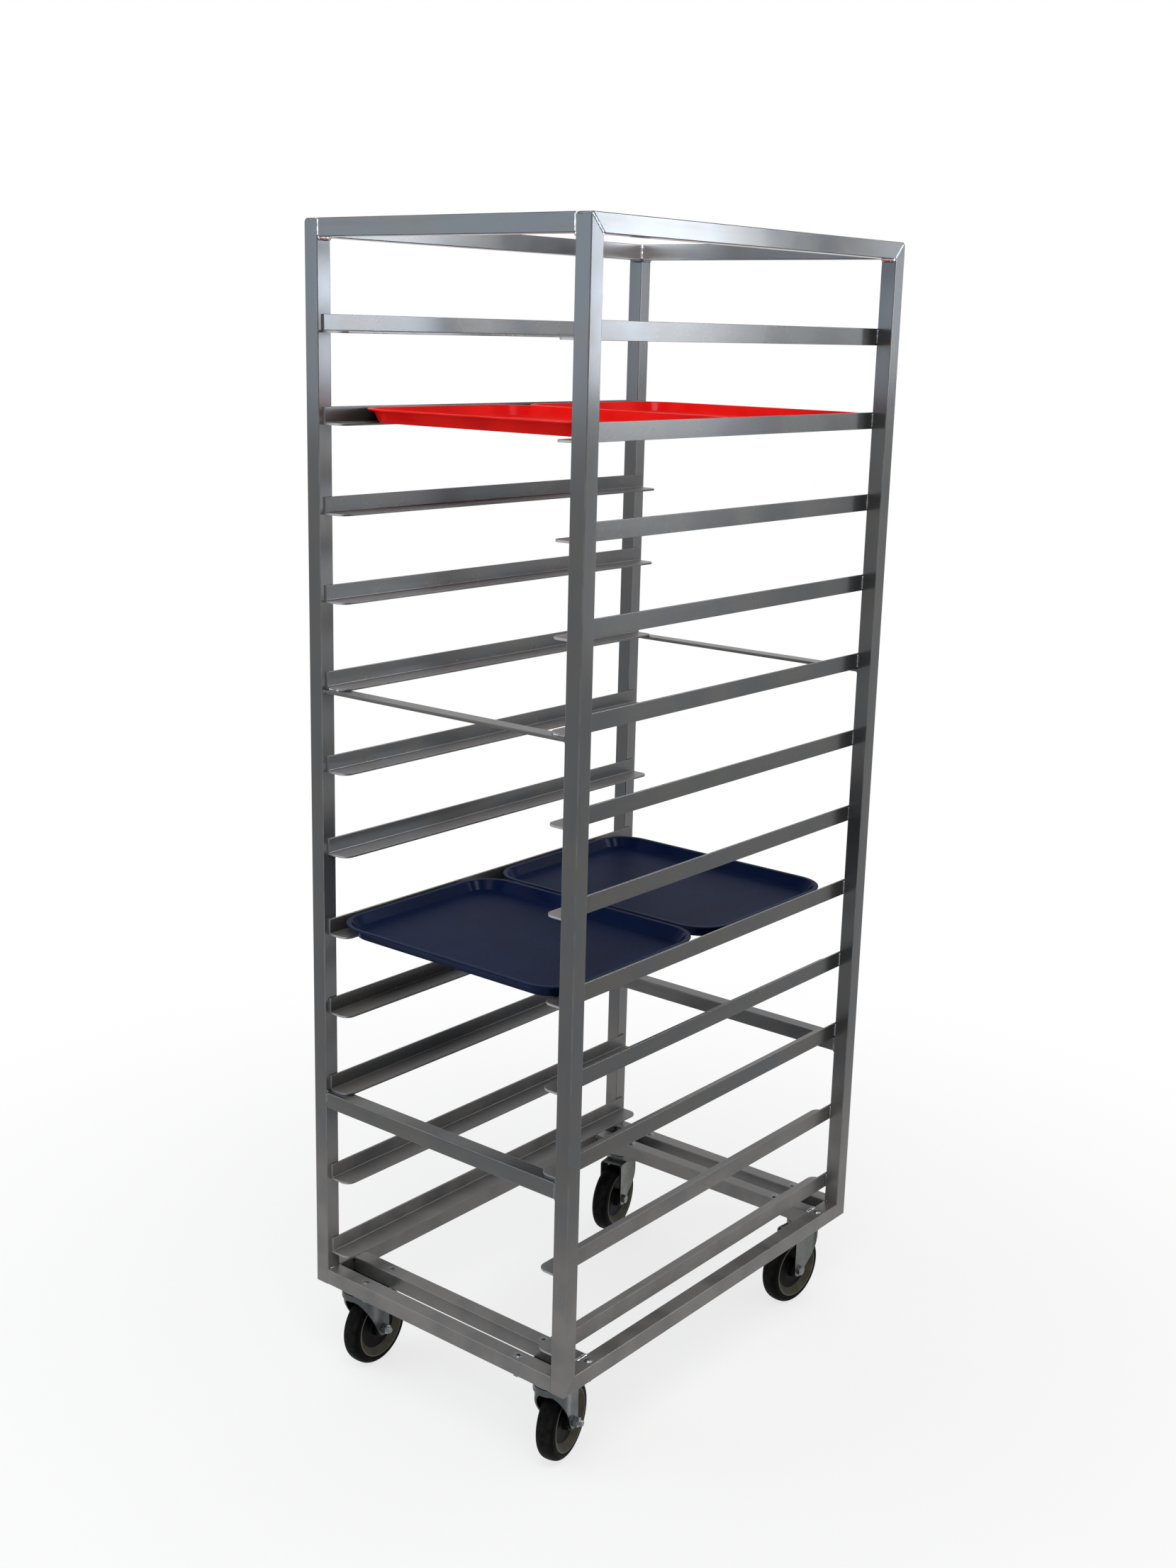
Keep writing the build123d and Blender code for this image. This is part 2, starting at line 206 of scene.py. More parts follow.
def metal(name, cool, warm, axis, rough, edges=False, settled_and_lit=0.0, lighter=None):
    """Mill-finish metal drawn along a local axis: fine lines, long stains, scuffs, and dust, with painted
    light, on the low parts.
    edges wears a tube's long edges bright. settled is the share of dust and painted light on the faces that
    look up, on stock whose sawn ends are made pale as painted light. lighter makes a factor of the colour, as
    painted light."""
    m = Look(name)
    here = m.coords()
    lines, stain = m.drawn_noise(axis, *DRAWN_LINES), m.drawn_noise(axis, *DRAWN_STAINS)
    cloud = m.noise(here, 9.0, detail=4.0, rough=0.55)
    scuff = m.span(m.noise(here, 70.0, detail=5.0, rough=0.65), 0.60, 0.72)
    speck = m.span(m.cells(here, 190.0), 0.10, 0.04)
    colour = m.mix(m.span(cloud, 0.35, 0.65), cool, warm)
    colour = m.mix(m.span(lines, 0.30, 0.72, 0.0, LINE_SHARE), colour, toned(warm, 0.72))
    colour = m.mix(m.span(stain, 0.50, 0.74, 0.0, STAIN_SHARE), colour, toned(warm, 0.62))
    colour = m.mix(m.times(scuff, SCUFF_SHARE), colour, toned(cool, 1.8))
    colour = m.mix(m.times(speck, SPECK_SHARE), colour, toned(warm, 0.45))
    roughness = m.span(cloud, 0.3, 0.7, rough - 0.02, rough + 0.04)
    if edges:
        worn = m.span(m.noise(here, 26.0), 0.35, 0.62, 0.15, 0.75)
        for across in m.xyz(m.coords("Generated"))[:2]:
            worn = m.times(worn, m.span(m.size(m.minus(across, 0.5)), *EDGE_SPAN))
        colour = m.mix(worn, colour, toned(cool, 1.7))
    if lighter:
        colour = m.scaled(colour, lighter(m))
    # Dust and painted light: towards the floor the colour turns pale as painted light for the floor's light,
    # and the dust makes the metal rougher and less metallic
    low = m.span(m.position()[2], *DUST_AND_LIGHT_SPAN)
    dust_and_light = m.times(low, m.span(m.noise(here, 18.0), 0.30, 0.70, 0.55, 1.0))
    colour = m.mix(m.times(dust_and_light, DUST_AND_LIGHT_SHARE), colour, LOW_DUST_AND_LIGHT)
    # Dust and painted light on the faces that look up, and the ends made pale as painted light
    if settled_and_lit:
        _, ny, nz = m.normal()
        sawn = m.span(m.size(ny), *FACING)
        colour = m.mix(sawn, colour, SAWN_END_AND_LIGHT)
        roughness = m.plus(roughness, m.times(sawn, SAWN_ROUGH))
        above = m.times(m.span(nz, 0.3, 0.9, 0.0, settled_and_lit), m.minus(1.0, dust_and_light))
        colour = m.mix(above, colour, LOW_DUST_AND_LIGHT)
        dust_and_light = m.plus(dust_and_light, above)
    roughness = m.plus(roughness, m.times(dust_and_light, DUST_ROUGH))
    return m.set(Base_Color=colour, Metallic=m.span(dust_and_light, 0.0, 1.0, CLEAN_METAL, DUSTY_METAL),
                 Roughness=roughness, Specular_IOR_Level=0.2, Anisotropic=0.6, Tangent=m.around(axis),
                 Normal=m.bump(lines, strength=0.02, distance=0.0002))


# Painted light: lighter tones where reflections of dark metal in dark metal come out too dark; heights and
# places in metres

LEFT_SPAN, LEFT_GAIN = (0.05, -0.05), 0.4
MIDDLE_FROM, MIDDLE_TO, TOP_FROM = (0.66, 0.80), (1.33, 1.26), (1.58, 1.62)
POST_TOP_SPAN, POST_GAIN = (1.58, 1.46), 0.5
CORNER_SPOT, CORNER_SPAN, CORNER_GAIN = (-0.232, 0.356), (0.20, 0.02), 2.8


def left_runners(m):
    """Factor of painted light on the colour of the middle and the top left runners."""
    x, _, z = m.position()
    levels = m.times(m.span(z, *MIDDLE_FROM), m.span(z, *MIDDLE_TO))
    levels = m.most(levels, m.span(z, *TOP_FROM))
    return m.plus(1.0, m.times(m.times(m.span(x, *LEFT_SPAN), levels), LEFT_GAIN))


def inner_sides(m):
    """Factor of painted light on the colour of the left posts' inner sides, below their tops."""
    inner = m.span(m.normal()[0], *FACING)
    return m.plus(1.0, m.times(m.times(inner, m.span(m.position()[2], *POST_TOP_SPAN)), POST_GAIN))


def rear_left_corner(m):
    """Factor of painted light on the colour of two rails' inner sides, their local -X, round the top rear left
    corner.
    """
    x, y, _ = m.position()
    far = m.length((m.minus(x, CORNER_SPOT[0]), m.minus(y, CORNER_SPOT[1])))
    inner = m.span(m.normal()[0], *toned(FACING, -1))
    return m.plus(1.0, m.times(inner, m.span(far, *CORNER_SPAN, 0.0, CORNER_GAIN)))


SOOT, SOOT_SHARE = (0.035, 0.034, 0.033), 0.6


def weld_metal(name, dark, light):
    m = Look(name)
    here = m.coords()
    cloud = m.noise(here, 240.0)
    soot = m.span(m.noise(here, 46.0), 0.52, 0.70)
    colour = m.mix(cloud, dark, light)
    colour = m.mix(m.times(soot, SOOT_SHARE), colour, SOOT)
    return m.set(Base_Color=colour, Metallic=1.0, Roughness=m.span(cloud, 0.3, 0.7, 0.20, 0.36),
                 Normal=m.bump(cloud, strength=0.2, distance=0.0002))


SPANGLE_SHARE, TARNISH_SHARE, PAINTED_SHADE_SHARE = 0.55, 0.55, 0.94
TARNISH = (0.70, 0.62, 0.52)          # factors of the tone
# painted shade: a near-black laid over zinc faces that lie in shade
PAINTED_SHADE = (0.010, 0.010, 0.011)


def zinc(name, tone, rough=0.30, painted_shade=None):
    """Zinc-plated steel with a faint spangle; dirty makes a mask of the faces that get painted shade."""
    m = Look(name)
    here = m.coords()
    spangle = m.xyz(m.cells(here, 420.0, "Color"))[0]
    cloud = m.noise(here, 34.0, detail=4.0)
    colour = m.mix(m.times(spangle, SPANGLE_SHARE), tone, toned(tone, 1.35))
    tarnished = [c * f for c, f in zip(tone, TARNISH)]
    colour = m.mix(m.span(cloud, 0.50, 0.74, 0.0, TARNISH_SHARE), colour, tarnished)
    # Painted shade over the masked faces
    if painted_shade:
        colour = m.mix(m.times(painted_shade(m), PAINTED_SHADE_SHARE), colour, PAINTED_SHADE)
    return m.set(Base_Color=colour, Metallic=1.0, Roughness=m.span(cloud, 0.3, 0.7, rough, rough + 0.14),
                 Normal=m.bump(m.noise(here, 900.0, detail=2.0), strength=0.06, distance=0.0002))


# Painted shade: the top faces of the caster plates and kingpins lie in dark pockets under the rails
def shaded_tops(m):
    return m.math("GREATER_THAN", m.normal()[2], 0.5)


CUP_DEEP = 0.0108                                        # from the top of a fork's cup to just below it, metres
EDGE_ACROSS, EDGE_OUT, EDGE_UP = 0.4, 0.93, 0.5          # an edge's normal: most along the axle, outwards, up
INSIDE_OUT, INSIDE_UP = -0.002, -0.25                    # an inner or lower face's normal: most outwards, up
FRONT_SPAN, ASIDE_SPAN = (0.006, -0.004), (0.002, -0.008)      # behind the pivot and along the axle, metres


def shaded_fork_faces(corner):
    """Mask of painted shade on a fork: its faces that look towards its upright pivot or down, its front edges,
    and the left half of its front below the cup."""
    pivot, axle = JOINTS[f"{corner}_swivel"]["pos_m"], JOINTS[f"{corner}_roll"]["axis"]
    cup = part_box(f"{corner}_fork")[1][2] - CUP_DEEP

    def mask(m):
        x, y, z = m.xyz(m.coords())
        nx, ny, nz = m.normal()
        arm, flat = (m.minus(x, pivot[0]), m.minus(y, pivot[1])), (nx, ny)
        out = m.dot(flat, arm)
        edge = m.below(m.size(m.dot(flat, axle)), EDGE_ACROSS)
        edge = m.times(edge, m.below(out, m.times(m.length(arm), EDGE_OUT)))
        edge = m.times(edge, m.below(nz, EDGE_UP))
        inside = m.most(m.below(out, INSIDE_OUT), m.below(nz, INSIDE_UP))
        behind = m.minus(m.times(arm[1], axle[0]), m.times(arm[0], axle[1]))
        front = m.times(m.span(behind, *FRONT_SPAN), m.below(z, cup))
        front = m.times(front, m.span(m.dot(arm, axle), *ASIDE_SPAN))
        return m.most(m.most(inside, edge), front)
    return mask


def local_radius(m):
    """Distance from a turned piece's own axis, its local Z."""
    return m.length(m.xyz(m.coords())[:2])


RUBBER_DARK, RUBBER_LIGHT = (0.0014, 0.0014, 0.0016), (0.0030, 0.0030, 0.0032)
RUBBER_DUST = (0.040, 0.039, 0.037)
TREAD_SPAN, TREAD_SHARE = (0.0570, 0.0610), 0.30         # radii in metres, and dust on the tread


def rubber():
    m = Look("black_rubber")
    here = m.coords()
    cloud = m.noise(here, 60.0, detail=4.0)
    grain = m.noise(here, 1400.0, detail=2.0)
    tread = m.span(local_radius(m), *TREAD_SPAN)
    dusty = m.times(tread, m.span(cloud, 0.40, 0.66, 0.05, 0.9))
    colour = m.mix(m.span(grain, 0.35, 0.7), RUBBER_DARK, RUBBER_LIGHT)
    colour = m.mix(m.times(dusty, TREAD_SHARE), colour, RUBBER_DUST)
    return m.set(Base_Color=colour, Roughness=m.span(cloud, 0.3, 0.7, 0.50, 0.70), Specular_IOR_Level=0.035,
                 Normal=m.bump(grain, strength=0.12, distance=0.0003))


WEB_DARK, WEB_LIGHT = (0.0016, 0.0016, 0.0018), (0.0034, 0.0034, 0.0034)
CONE_DARK, CONE_LIGHT, LIP = (0.058, 0.054, 0.039), (0.080, 0.074, 0.056), (0.15, 0.143, 0.118)
CONE_FROM, LIP_FROM, LIP_TO = (0.0362, 0.0372), (0.0468, 0.0474), (0.0490, 0.0484)      # radii in metres


def core_plastic():
    """Wheel core: black web and hub, olive cone, pale lip on the rim."""
    m = Look("wheel_core_plastic")
    here = m.coords()
    radius = local_radius(m)
    cloud = m.noise(here, 48.0, detail=4.0)
    grain = m.noise(here, 900.0, detail=2.0)
    lip = m.times(m.span(radius, *LIP_FROM), m.span(radius, *LIP_TO))
    cone = m.mix(m.span(cloud, 0.35, 0.65), CONE_DARK, CONE_LIGHT)
    web = m.mix(m.span(grain, 0.3, 0.7), WEB_DARK, WEB_LIGHT)
    colour = m.mix(m.span(radius, *CONE_FROM), web, m.mix(lip, cone, LIP))
    return m.set(Base_Color=colour, Roughness=m.span(cloud, 0.3, 0.7, 0.42, 0.58), Specular_IOR_Level=0.06,
                 Normal=m.bump(grain, strength=0.10, distance=0.0003))


FLOOR_SPAN, RIM_SPAN = (0.0062, 0.0034), (0.0184, 0.0197)      # heights above a tray's underside, metres
SCRATCH_SHARE, GRAIN_SHARE = 0.14, 0.14
FLOOR_RELIEF, WALL_RELIEF, FLOOR_ROUGH, RIM_ROUGH = 0.85, 0.15, 0.30, 0.25


def tray_plastic(name, base, deep, pale):
    """Moulded tray: leather-grained floor, glossier walls, scuffed rim. Local Z runs from the underside up."""
    m = Look(name)
    here = m.coords()
    z = m.xyz(here)[2]
    cloud = m.noise(here, 11.0)
    grain = m.noise(here, 760.0, rough=0.6)
    pores = m.cells(here, 520.0)
    floor, rim = m.span(z, *FLOOR_SPAN), m.span(z, *RIM_SPAN)
    scratch = m.span(m.noise(m.coords(stretch=(1.0, 0.06, 1.0)), 300.0, rough=0.7), 0.64, 0.80)
    scuff = m.times(rim, m.span(m.noise(here, 55.0, detail=4.0), 0.46, 0.66, 0.12, 0.45))
    colour = m.mix(m.span(cloud, 0.32, 0.68), base, deep)
    colour = m.mix(m.times(floor, m.span(pores, 0.25, 0.55, 0.16, 0.0)), colour, pale)
    colour = m.mix(m.times(m.times(floor, scratch), SCRATCH_SHARE), colour, pale)
    colour = m.mix(scuff, colour, pale)
    colour = m.mix(m.times(m.span(grain, 0.55, 0.75), GRAIN_SHARE), colour, deep)
    relief = m.times(m.plus(grain, pores), m.plus(m.times(floor, FLOOR_RELIEF), WALL_RELIEF))
    roughness = m.plus(m.times(floor, FLOOR_ROUGH), m.span(grain, 0.3, 0.7, 0.15, 0.21))
    roughness = m.plus(roughness, m.times(rim, RIM_ROUGH))
    return m.set(Base_Color=colour, Roughness=roughness, Specular_IOR_Level=0.03,
                 Normal=m.bump(relief, strength=0.30, distance=0.0004))


COOL, WARM, TUBE_ROUGH = (0.088, 0.092, 0.098), (0.100, 0.098, 0.095), 0.21
PLATE_TONE = (0.125, 0.138, 0.145)
# painted shade: the front forks get a darker tone than the rear ones, which are the same parts
FORK_TONE_AND_SHADE = {"front": (0.070, 0.077, 0.080), "rear": (0.122, 0.130, 0.122)}
TUBE_METAL = metal("aluminium_tube", COOL, WARM, "Z", TUBE_ROUGH, edges=True)
BAR_METAL = metal("aluminium_bar", (0.098, 0.096, 0.096), (0.112, 0.106, 0.101), "Z", 0.26)
RUNNER_METAL = metal("aluminium_angle", (0.079, 0.082, 0.086), (0.090, 0.088, 0.085), "Y", 0.25, settled_and_lit=0.72,
                     lighter=left_runners)
LEFT_POST_METAL = metal("aluminium_left_post", COOL, WARM, "Z", TUBE_ROUGH, edges=True, lighter=inner_sides)
CORNER_METAL = metal("aluminium_rear_left_rail", COOL, WARM, "Z", TUBE_ROUGH, edges=True,
                     lighter=rear_left_corner)
GROUND_METAL = metal("aluminium_ground_weld", COOL, WARM, "Z", 0.24)
WELD = weld_metal("weld_metal", (0.060, 0.064, 0.072), (0.24, 0.25, 0.27))
# painted highlight: a paler copy of the weld metal for the beads where the welds catch light
WELD_PAINTED_HIGHLIGHT = weld_metal("weld_metal_painted_highlight", (0.22, 0.23, 0.25), (0.74, 0.74, 0.76))
ZINC = zinc("zinc_plate", PLATE_TONE)
PLATE_ZINC = zinc("zinc_top_plate", PLATE_TONE, painted_shade=shaded_tops)
BRIGHT_ZINC = zinc("zinc_bright", (0.21, 0.225, 0.225))
BOLT_ZINC = zinc("zinc_bolt", (0.16, 0.168, 0.172), 0.26)
FORK_ZINC = {corner: zinc(f"zinc_{corner}_fork", FORK_TONE_AND_SHADE[corner.split("_")[0]], painted_shade=shaded_fork_faces(corner))
             for corner in CORNERS}
RUBBER = rubber()
CORE = core_plastic()
RED = tray_plastic("red_tray_plastic", base=(0.90, 0.011, 0.007), deep=(0.74, 0.007, 0.007),
                   pale=(0.90, 0.09, 0.06))
BLUE = tray_plastic("blue_tray_plastic", base=(0.0036, 0.0115, 0.050), deep=(0.0028, 0.0088, 0.040),
                    pale=(0.014, 0.026, 0.058))


# Mesh building

def piece(name, verts, faces, mat, body, slot, matrix=None, smooth_angle=32.0, flat=False):
    """A mesh object from points in metres, in its own axes, placed by matrix and riding on a body.
    flat keeps wide faces flat in shade beside their rounded edges."""
    mesh = bpy.data.meshes.new(name)
    mesh.from_pydata([tuple(v) for v in verts], [], faces)
    mesh.validate()
    mesh.update()
    mesh.materials.append(mat)
    mesh.polygons.foreach_set("use_smooth", [True] * len(mesh.polygons))
    mesh.set_sharp_from_angle(angle=math.radians(smooth_angle))
    obj = bpy.data.objects.new(name, mesh)
    bpy.context.scene.collection.objects.link(obj)
    if flat:
        obj.modifiers.new("flat_faces", "WEIGHTED_NORMAL").keep_sharp = True
    if matrix is not None:
        obj.matrix_world = matrix
    bpy.context.view_layer.update()
    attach(obj, body)
    return obj


def loops(rings, cap_start=True, cap_end=True):
    """Points and faces over a list of equally long rings, numbered one ring after another."""
    n, faces = len(rings[0]), []
    for k in range(len(rings) - 1):
        for i in range(n):
            j = (i + 1) % n
            faces.append((k * n + i, k * n + j, (k + 1) * n + j, (k + 1) * n + i))
    if cap_start:
        faces.append(tuple(reversed(range(n))))
    if cap_end:
        faces.append(tuple(range((len(rings) - 1) * n, len(rings) * n)))
    return [p for ring in rings for p in ring], faces


STRAIGHT = math.pi / 2 - 0.02      # half the angle from which a corner is left as it is
MOST_REACH = 0.48                  # of the shorter side that a corner's arc may take


def rounded(points, radii, steps):
    """A polyline whose corners are arcs of the given radii; the ends stay sharp."""
    out = [Vector(points[0])]
    for before, corner, after, r in zip(points, points[1:], points[2:], radii):
        b, c, a = Vector(before), Vector(corner), Vector(after)
        u, w = (b - c).normalized(), (a - c).normalized()
        half = u.angle(w) / 2
        if half > STRAIGHT:
            out.append(c)
            continue
        reach = min(r / math.tan(half), MOST_REACH * (b - c).length, MOST_REACH * (a - c).length)
        r = reach * math.tan(half)
        centre = c + (u + w).normalized() * (r / math.sin(half))
        start, end = c + u * reach - centre, c + w * reach - centre
        turn = start.angle_signed(end)
        for k in range(steps + 1):
            ang = -turn * (k / steps)
            out.append(centre + Vector((start.x * math.cos(ang) - start.y * math.sin(ang),
                                        start.x * math.sin(ang) + start.y * math.cos(ang))))
    out.append(Vector(points[-1]))
    return out


def arc(x, y, radius, start, end, steps):
    """Points of an arc, with its angles in degrees."""
    turns = [math.radians(start + (end - start) * k / steps) for k in range(steps + 1)]
    return [(x + radius * math.cos(t), y + radius * math.sin(t)) for t in turns]


def rounded_rectangle(width, depth, radius, steps, straight=1):
    """Ring of points in local X and Y: corners of so many steps, sides of so many straight lengths."""
    a, b = width / 2 - radius, depth / 2 - radius
    spots = ((a, b), (-a, b), (-a, -b), (a, -b))
    corners = [arc(x, y, radius, 90.0 * k, 90.0 * (k + 1), steps) for k, (x, y) in enumerate(spots)]
    points = []
    for corner, following in zip(corners, corners[1:] + corners[:1]):
        start, end = Vector(corner[-1]), Vector(following[0])
        points += corner + [tuple(start.lerp(end, i / straight)) for i in range(1, straight)]
    return points


def circle(radius, z, sides):
    turns = [2 * math.pi * i / sides for i in range(sides)]
    return [(radius * math.cos(t), radius * math.sin(t), z) for t in turns]


def lathe(profile, sides):
    """Rings of an (r, z) profile in millimetres, turned about local Z."""
    return [circle(r * MM, z * MM, sides) for r, z in profile]


def flipped(faces):
    return [tuple(reversed(f)) for f in faces]


class Mesh:
    """Collects several closed shapes into one mesh."""

    def __init__(self):
        self.verts, self.faces = [], []

    def add(self, verts, faces):
        base = len(self.verts)
        self.verts += [tuple(v) for v in verts]
        self.faces += [tuple(base + i for i in f) for f in faces]


def mm_box(node):
    """Lowest and highest corner of a CAD node, in millimetres."""
    return [Vector(v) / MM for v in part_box(node)]


def wheel_axis(corner):
    """Matrix that puts local Z on a wheel's axle, with the origin in the wheel's middle."""
    roll = JOINTS[f"{corner}_roll"]
    turn = Vector(roll["axis"]).to_track_quat("Z", "Y").to_matrix().to_4x4()
    return Matrix.Translation(Vector(roll["pos_m"])) @ turn


# Square tubes and flat bars

TUBE, TUBE_R, FLAT_BAR_T, FLAT_BAR_R = 25.4, 1.6, 4.8, 0.9
LEAST_R, SECTION_STEPS = 0.25, 4
WELDED, GROUND, TACKED = (3.2, 1.5), (0.03, 0.03), (1.2, 1.0)      # bevel of a bar's end: length and depth
MITRE_LEAN = 1.4                   # a mitre's bevel is longer by this factor
X, Y, Z = (1, 0, 0), (0, 1, 0), (0, 0, 1)
ACROSS, UP, DEEP = (Y, Z, X), (X, Y, Z), ((-1, 0, 0), Z, Y)
CROSS_KINDS = (("top", "rail"), ("bottom", "outer_rail"), ("bottom", "inner_rail"), ("lower", "cross_tube"))
CROSS_RAILS = [f"{level}_{end}_{kind}" for end in ENDS for level, kind in CROSS_KINDS]


def bar(name, node, axes, mat, mitre=0, low=WELDED, high=WELDED, depth=TUBE, radius=TUBE_R):
    """Straight bar over a CAD node, as wide as the tube. Local X, Y, Z run along axes; mitre is the local Y
    side that is longest, or 0."""
    lo, hi = mm_box(node)
    centre, extent = (lo + hi) / 2, hi - lo
    cols = [Vector(a) for a in axes]
    half = abs(cols[2].dot(extent)) / 2
    lean = MITRE_LEAN if mitre else 1.0
    rings = []
    for end, cuts in ((-1, ((low[1], 0.0), (0.0, low[0]))), (1, ((0.0, high[0]), (high[1], 0.0)))):
        for inset, back in cuts:
            outline = rounded_rectangle(TUBE - 2 * inset, depth - 2 * inset, max(radius - inset, LEAST_R),
                                        SECTION_STEPS)
            ring = []
            for x, y in outline:
                fall = depth / 2 - mitre * y if mitre else 0.0
                ring.append((x * MM, y * MM, end * (half - fall - back * lean) * MM))
            rings.append(ring)
    verts, faces = loops(rings)
    matrix = Matrix.Translation(centre * MM) @ Matrix([[c[i] for c in cols] for i in range(3)]).to_4x4()
    obj = piece(name, verts, faces, mat, "frame", "aluminium", matrix, flat=True)
    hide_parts(node)


SIDE_METALS = (("left", LEFT_POST_METAL, CORNER_METAL), ("right", TUBE_METAL, TUBE_METAL))
for side, post_metal, rail_metal in SIDE_METALS:
    for end, out in zip(ENDS, SIGNS):
        bar(f"{end}_{side}_post_tube", f"{end}_{side}_post", UP, post_metal, out, low=GROUND)
    bar(f"top_{side}_side_tube", f"top_{side}_side_rail", DEEP, rail_metal, 1)
    bar(f"bottom_{side}_side_tube", f"bottom_{side}_side_rail", DEEP, TUBE_METAL, -1, GROUND, GROUND)
for node in CROSS_RAILS:
    cut = GROUND if "outer" in node else WELDED
    bar(f"{node}_bar", node, ACROSS, CORNER_METAL if node == "top_rear_rail" else TUBE_METAL, 0, cut, cut)
for end in ENDS:
    bar(f"{end}_flat_bar_strip", f"{end}_flat_bar", ACROSS, BAR_METAL, 0, TACKED, TACKED,
        FLAT_BAR_T, FLAT_BAR_R)


# Tray runners

RISE, SHELF, ANGLE_T, TIP_R = 25.4, 38.1, 3.2, 15.0
HEEL_R, EDGE_R, ROOT_R, ANGLE_STEPS = 0.5, 0.7, 1.5, 5
ON_BACK = (0, 10)                  # where the outline of the section starts, on the upright leg's back
TIP_STEPS = (0, 0.15, 0.6, 1.4, 2.6, 4.3, 6.5, 9.3, 12, 15)


def angle_section(shelf):
    """Angle with its outside corner at the origin, the upright leg along the second axis, millimetres."""
    corners = [ON_BACK, (0, 0), (shelf, 0), (shelf, ANGLE_T), (ANGLE_T, ANGLE_T), (ANGLE_T, RISE), (0, RISE),
               ON_BACK]
    return rounded(corners, [HEEL_R, EDGE_R, EDGE_R, ROOT_R, EDGE_R, EDGE_R], ANGLE_STEPS)[:-1]


def runner_pair(node):
    """Two angles whose flat legs have rounded free corners."""
    lo, hi = mm_box(node)
    tips = [(d, SHELF - TIP_R + math.sqrt(TIP_R**2 - (TIP_R - d)**2)) for d in TIP_STEPS]
    stations = [(lo.y + d, shelf) for d, shelf in tips] + [(hi.y - d, shelf) for d, shelf in reversed(tips)]
    mesh = Mesh()
    for side in SIGNS:
        rings = [[(side * (hi.x - x) * MM, y * MM, (lo.z + z) * MM) for x, z in angle_section(shelf)]
                 for y, shelf in stations]
        verts, faces = loops(rings)
        mesh.add(verts, faces if side > 0 else flipped(faces))
    obj = piece(f"{node}_angles", mesh.verts, mesh.faces, RUNNER_METAL, "frame", "runner", flat=True)
    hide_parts(node)


for node in RUNNERS:
    runner_pair(node)


# Weld beads, in millimetres

BEAD_STEP, BEAD_LEAST, BEAD_SIDES = 0.6, 12, 12          # length of a step, least steps, and sides
PITCH, RIPPLE, BEND = 3.1, 0.15, 0.45                    # ripples: distance, depth, and bend in pitches
END_SIZE, END_REACH = 0.30, 3.0                          # a bead starts at this share of its size
WANDER, WANDER_RATE, WANDER_ROW, WANDER_SEED = 0.30, 0.23, 3.7, 0.3      # slow change of size, from noise
SINK, FLUSH_HEIGHT, NOOK_SHIFT, WELD_ANGLE = 1.55, 1.5, 0.5, 50.0


class Beads:
    """Collects rippled weld beads into one mesh."""

    def __init__(self):
        self.mesh, self.count = Mesh(), 0

    def run(self, start, end, up, half_width, height):
        """Bead from start to end, with its middle on that line and its top towards up."""
        p, q = Vector(start), Vector(end)
        length, axis = (q - p).length, (q - p).normalized()
        w = Vector(up).normalized()
        u = axis.cross(w)
        self.count += 1
        steps = max(BEAD_LEAST, round(length / BEAD_STEP))
        rings = []
        for k in range(steps + 1):
            s = length * k / steps
            swell = min(1.0, END_SIZE + math.sqrt(max(0.0, min(s, length - s)) / END_REACH))
            wander = 1.0 + WANDER * noise.noise(Vector((s * WANDER_RATE, self.count * WANDER_ROW, WANDER_SEED)))
            ring = []
            for i in range(BEAD_SIDES):
                a = 2 * math.pi * i / BEAD_SIDES
                ripple = 1.0 - RIPPLE * ((s / PITCH + wander + BEND * math.cos(a) ** 2) % 1.0)
                r = min(1.0, ripple * wander) * swell
                aside, above = u * (half_width * r * math.cos(a)), w * (height * r * math.sin(a))
                ring.append((p + axis * s + aside + above) * MM)
            rings.append(ring)
        self.mesh.add(*loops(rings))

    def flush(self, start, end, up, half_width):
        """Bead in a groove, with its top just below the face that start and end lie on."""
        sink = Vector(up) * SINK
        self.run(Vector(start) - sink, Vector(end) - sink, up, half_width, FLUSH_HEIGHT)

    def nook(self, start, end, out, radius):
        """Bead in the inside corner that start and end lie on; out points away from both faces."""
        shift = Vector(out) * NOOK_SHIFT
        self.run(Vector(start) + shift, Vector(end) + shift, out, radius, radius)

    def build(self, name, mat):
        piece(name, self.mesh.verts, self.mesh.faces, mat, "frame", "aluminium", smooth_angle=WELD_ANGLE)


post_lo, post_hi = mm_box("front_left_post")
TOP, BOTTOM = post_hi.z, post_lo.z
OUT_X, IN_X, OUT_Y, IN_Y = -post_lo.x, -post_hi.x, -post_lo.y, -post_hi.y

# Places are distances in from the edges of the stock; the rest are half widths, radii and heights
MITRE_IN, MITRE_HALF = 2.4, 4.4
EDGE_IN, EDGE_SHORT, EDGE_HALF, EDGE_HIGH = 2.2, 2.0, 2.2, 2.0
FULL_NOOK, THIN_NOOK, RAIL_NOOK, HIGH_NOOK, SIDE_NOOK, BAR_NOOK, TACK_NOOK = 4.6, 1.8, 2.8, 3.2, 2.2, 2.4, 2.5
TOP_SHORT, BOTTOM_REACH = 1.5, 6.0
SHORT, TIGHT, NOOK_SHORT, BAR_SHORT = 1.0, 0.5, 1.5, 2.0
SIDE_REACH = 8.0                   # down from a bottom rail's top
GROOVE_IN, GROOVE_HALF = 1.2, 3.0
SEAM_SINK, SEAM_HALF, SEAM_HIGH = 0.6, 3.4, 2.0
OUTER_FROM, OUTER_TO = 5.0, 14.0
GROUND_HALF = 2.9
TIP_FROM, TIP_TO = 27.0, 6.0


